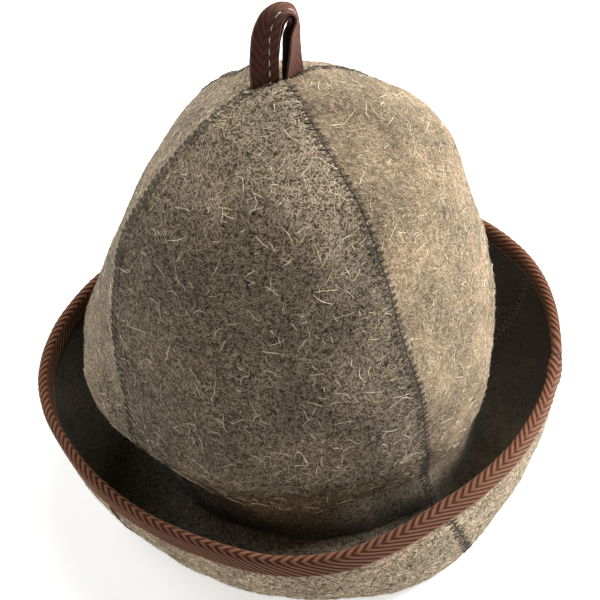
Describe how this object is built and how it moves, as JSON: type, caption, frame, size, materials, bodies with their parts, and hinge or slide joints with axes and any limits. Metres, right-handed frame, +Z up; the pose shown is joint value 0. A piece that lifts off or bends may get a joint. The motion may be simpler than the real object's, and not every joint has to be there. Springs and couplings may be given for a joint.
{
  "type": "sauna hat",
  "caption": "Felt sauna hat: a domed crown of sewn gores, a turned-up brim with a twill edge binding and a hanging loop at the tip.",
  "frame": {"origin": "bottom centre of the whole hat's bounding box, on the surface that the turned-up brim's fold rests on", "axes": "+Z up through the crown's tip, -Y towards the front as the picture shows it, +X to the viewer's right"},
  "size_m": [0.2726, 0.2646, 0.2498],
  "materials": {
    "felt": "matte mottled wool felt with loose guard hairs",
    "twill_tape": "herringbone twill tape, slight sheen"
  },
  "bodies": {
    "root": {"panel_front": "felt", "panel_right": "felt", "panel_back": "felt", "panel_left": "felt", "edge_binding": "twill_tape", "hanging_loop": "twill_tape"}
  },
  "joints": []
}
